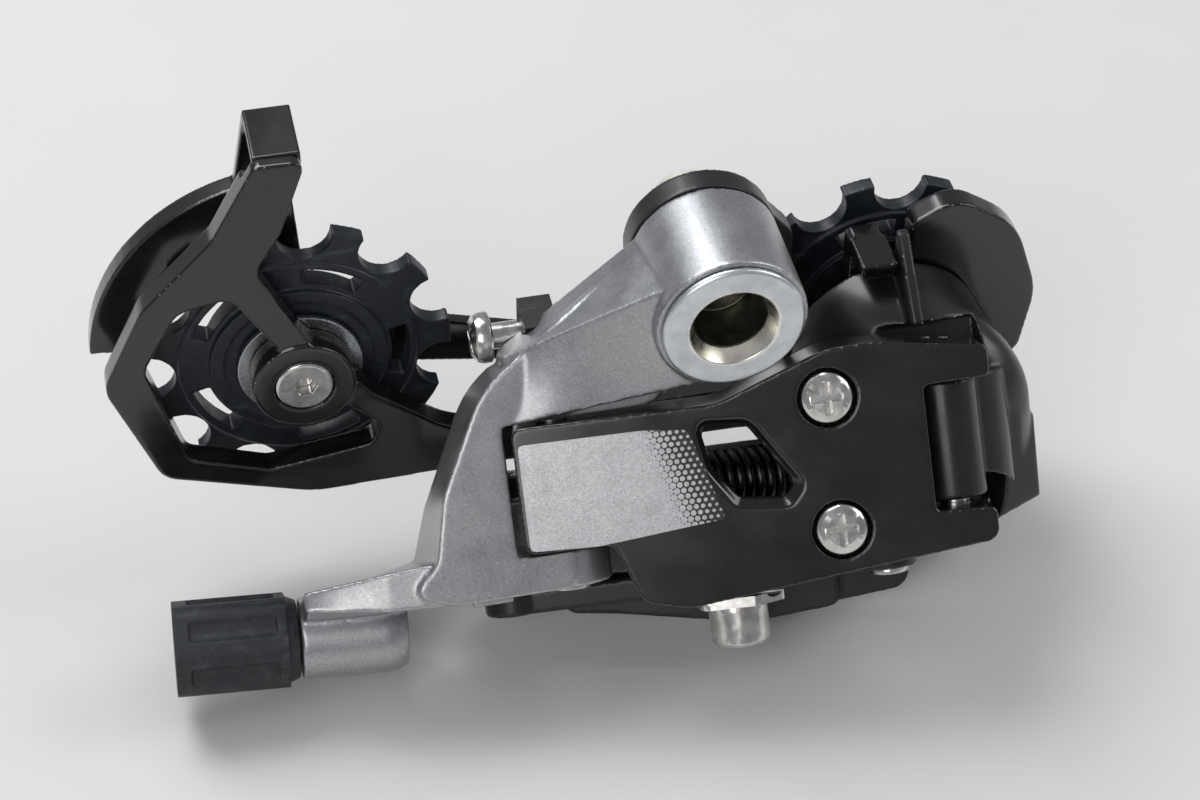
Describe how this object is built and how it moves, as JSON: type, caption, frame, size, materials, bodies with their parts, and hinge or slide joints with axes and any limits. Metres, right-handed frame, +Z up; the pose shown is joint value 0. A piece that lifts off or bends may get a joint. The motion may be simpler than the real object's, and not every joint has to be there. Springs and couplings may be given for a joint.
{
  "type": "rear bicycle derailleur",
  "caption": "Rear derailleur of a bicycle: slant parallelogram with two knuckles, sprung cage with guide and tension pulleys, barrel adjuster, limit and tension screws.",
  "frame": {"origin": "on the hanger bolt's axis, in the plane where the mounting washer meets the frame's hanger", "axes": "+Y inboard along the hanger bolt's threaded end, +X towards the guide pulley, +Z up as the part stands at rest"},
  "size_m": [0.1443, 0.057, 0.0825],
  "materials": {
    "ring_aluminium": "satin",
    "black_satin": "satin",
    "steel": "polished",
    "silver_paint": "satin metallic",
    "rubber": "matte",
    "bush_polymer": "matte",
    "black_polymer": "matte",
    "black_alloy": "satin",
    "black_gloss": "gloss",
    "spring_steel": "oiled",
    "cap_steel": "brushed",
    "pulley_polymer": "satin"
  },
  "bodies": {
    "hanger_mount": {"hanger_bolt": "ring_aluminium", "b_stop_washer": "black_satin", "retaining_ring": "steel"},
    "b_knuckle": {"b_knuckle": "silver_paint", "knuckle_seal": "rubber", "knuckle_bush_rear": "bush_polymer", "knuckle_bush_front": "bush_polymer", "outer_pin_b": "steel", "inner_pin_b": "steel", "b_screw_nut": "black_polymer"},
    "b_tension_screw": {"b_tension_screw": "steel"},
    "barrel_adjuster": {"adjuster_grip": "rubber", "adjuster_stud": "black_alloy"},
    "outer_link": {"outer_link": "black_gloss", "outer_pin_p": "steel", "cable_clamp_washer": "steel", "cable_anchor_bolt": "steel", "return_spring": "spring_steel"},
    "low_limit_screw": {"low_limit_screw": "steel"},
    "high_limit_screw": {"high_limit_screw": "steel"},
    "inner_link": {"inner_link": "black_satin"},
    "p_knuckle": {"p_knuckle": "black_satin", "inner_pin_p": "steel", "cage_spring": "spring_steel", "cage_seal": "rubber"},
    "cage": {"outer_cage_plate": "black_gloss", "inner_cage_plate": "black_gloss", "cage_axle": "steel", "cage_axle_clip": "steel", "guide_bush": "steel", "guide_cap_outer": "cap_steel", "guide_cap_inner": "cap_steel", "guide_pulley_bolt": "steel", "tension_bearing_inner": "steel", "tension_sleeve": "steel", "tension_cap_outer": "cap_steel", "tension_cap_inner": "cap_steel", "tension_pulley_bolt": "steel"},
    "guide_pulley": {"guide_pulley_wheel": "pulley_polymer"},
    "tension_pulley": {"tension_pulley_wheel": "pulley_polymer", "tension_bearing_outer": "steel", "tension_bearing_balls": "steel"}
  },
  "joints": [
    {"name": "hanger_pivot", "type": "hinge", "parent": "hanger_mount", "child": "b_knuckle", "pos_m": [0, 0, 0], "axis": [0, 1, 0], "range_deg": [0, 8]},
    {"name": "b_screw_turn", "type": "hinge", "parent": "b_knuckle", "child": "b_tension_screw", "pos_m": [-0.035, -0.0024, -0.0129], "axis": [1, 0, 0], "continuous": true},
    {"name": "adjuster_turn", "type": "hinge", "parent": "b_knuckle", "child": "barrel_adjuster", "pos_m": [-0.06596, -0.02461, -0.04749], "axis": [-0.9976, 0.041, 0.0564], "continuous": true},
    {"name": "shift", "type": "hinge", "parent": "b_knuckle", "child": "outer_link", "pos_m": [-0.0253, -0.01998, -0.02751], "axis": [0, 0.5878, 0.809], "range_deg": [0, 34], "stiffness_Nm_per_rad": 0.9, "springref_deg": -34.38, "deforming": ["return_spring"]},
    {"name": "low_limit_turn", "type": "hinge", "parent": "outer_link", "child": "low_limit_screw", "pos_m": [0.01331, -0.02577, -0.01292], "axis": [-0.1552, -0.7992, 0.5807], "continuous": true},
    {"name": "high_limit_turn", "type": "hinge", "parent": "outer_link", "child": "high_limit_screw", "pos_m": [0.01331, -0.03723, -0.0287], "axis": [-0.1552, -0.7992, 0.5807], "continuous": true},
    {"name": "inner_link_pivot", "type": "hinge", "parent": "b_knuckle", "child": "inner_link", "pos_m": [-0.0326, -0.01431, -0.04522], "axis": [0, 0.5878, 0.809], "range_deg": [0, 34]},
    {"name": "p_knuckle_pivot", "type": "hinge", "parent": "outer_link", "child": "p_knuckle", "pos_m": [0.032, -0.02727, -0.02221], "axis": [0, 0.5878, 0.809], "range_deg": [-34, 0]},
    {"name": "cage_swing", "type": "hinge", "parent": "p_knuckle", "child": "cage", "pos_m": [0.0356, -0.003, -0.035], "axis": [0, -1, 0], "range_deg": [0, 105], "stiffness_Nm_per_rad": 0.25, "springref_deg": -57.3},
    {"name": "guide_pulley_spin", "type": "hinge", "parent": "cage", "child": "guide_pulley", "pos_m": [0.0306, 0.0055, -0.0231], "axis": [0, 1, 0], "continuous": true},
    {"name": "tension_pulley_spin", "type": "hinge", "parent": "cage", "child": "tension_pulley", "pos_m": [-0.06, 0.0055, -0.0171], "axis": [0, 1, 0], "continuous": true}
  ],
  "couplings": [
    {"joint": "inner_link_pivot", "follows": "shift", "ratio": 1},
    {"joint": "p_knuckle_pivot", "follows": "shift", "ratio": -1}
  ]
}
